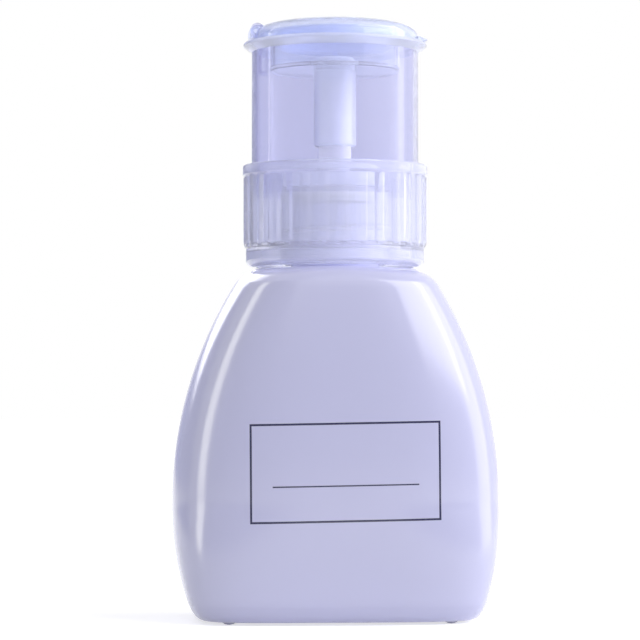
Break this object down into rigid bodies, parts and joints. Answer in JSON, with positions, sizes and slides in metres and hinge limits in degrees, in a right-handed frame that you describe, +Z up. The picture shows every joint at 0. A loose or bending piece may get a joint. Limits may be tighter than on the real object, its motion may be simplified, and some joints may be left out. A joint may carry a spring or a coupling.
{
  "type": "press-top pump dispenser bottle with flip lid",
  "caption": "Flattened bottle with a ribbed screw collar; pressing the dish-topped head pumps liquid up into the dish under a hinged lid",
  "frame": {"origin": "on the ground, at the middle of the bottle's base", "axes": "+Z up along the pump's stem, -Y towards the label side, -X towards the lid's hinge"},
  "size_m": [0.08, 0.049, 0.147],
  "materials": {
    "milky_plastic": "satin milky polyethylene",
    "clear_plastic": "clear glossy polypropylene",
    "cloudy_plastic": "cloudy natural polypropylene",
    "soft_plastic": "soft white polyethylene",
    "seal_rubber": "pale elastomer",
    "spring_steel": "drawn stainless steel",
    "valve_glass": "clear glass bead"
  },
  "bodies": {
    "bottle": {"bottle": "milky_plastic"},
    "pump": {"pump_housing": "cloudy_plastic", "neck_gasket": "seal_rubber", "guide_cap": "clear_plastic", "stem_wiper": "seal_rubber", "dip_tube": "cloudy_plastic", "ball_cage": "cloudy_plastic", "return_spring": "spring_steel"},
    "collar": {"collar": "clear_plastic"},
    "piston": {"piston_seal": "soft_plastic"},
    "head": {"press_head": "clear_plastic", "stem": "cloudy_plastic", "hinge_bracket": "clear_plastic", "piston_seat": "cloudy_plastic"},
    "lid": {"flip_lid": "clear_plastic"},
    "inlet_valve": {"inlet_ball": "spring_steel"},
    "outlet_valve": {"outlet_ball": "valve_glass"}
  },
  "joints": [
    {"name": "pump_lift", "type": "slide", "parent": "bottle", "child": "pump", "axis": [0, 0, 1], "range_m": [0, 0.0048]},
    {"name": "collar_turn", "type": "hinge", "parent": "pump", "child": "collar", "pos_m": [0, 0, 0.1], "axis": [0, 0, 1], "range_deg": [0, 540]},
    {"name": "head_press", "type": "slide", "parent": "pump", "child": "piston", "axis": [0, 0, -1], "range_m": [0, 0.009], "stiffness_N_per_m": 500, "springref_m": -0.006, "deforming": ["return_spring"]},
    {"name": "head_turn", "type": "hinge", "parent": "piston", "child": "head", "pos_m": [0, 0, 0.12], "axis": [0, 0, 1], "continuous": true},
    {"name": "lid_hinge", "type": "hinge", "parent": "head", "child": "lid", "pos_m": [-0.01945, 0, 0.1443], "axis": [0, -1, 0], "range_deg": [0, 150]},
    {"name": "inlet_lift", "type": "slide", "parent": "pump", "child": "inlet_valve", "axis": [0, 0, 1], "range_m": [0, 0.0015]},
    {"name": "outlet_lift", "type": "slide", "parent": "head", "child": "outlet_valve", "axis": [0, 0, 1], "range_m": [0, 0.0006]}
  ],
  "couplings": [
    {"joint": "pump_lift", "follows": "collar_turn", "m_per_rad": 0.00050611}
  ]
}
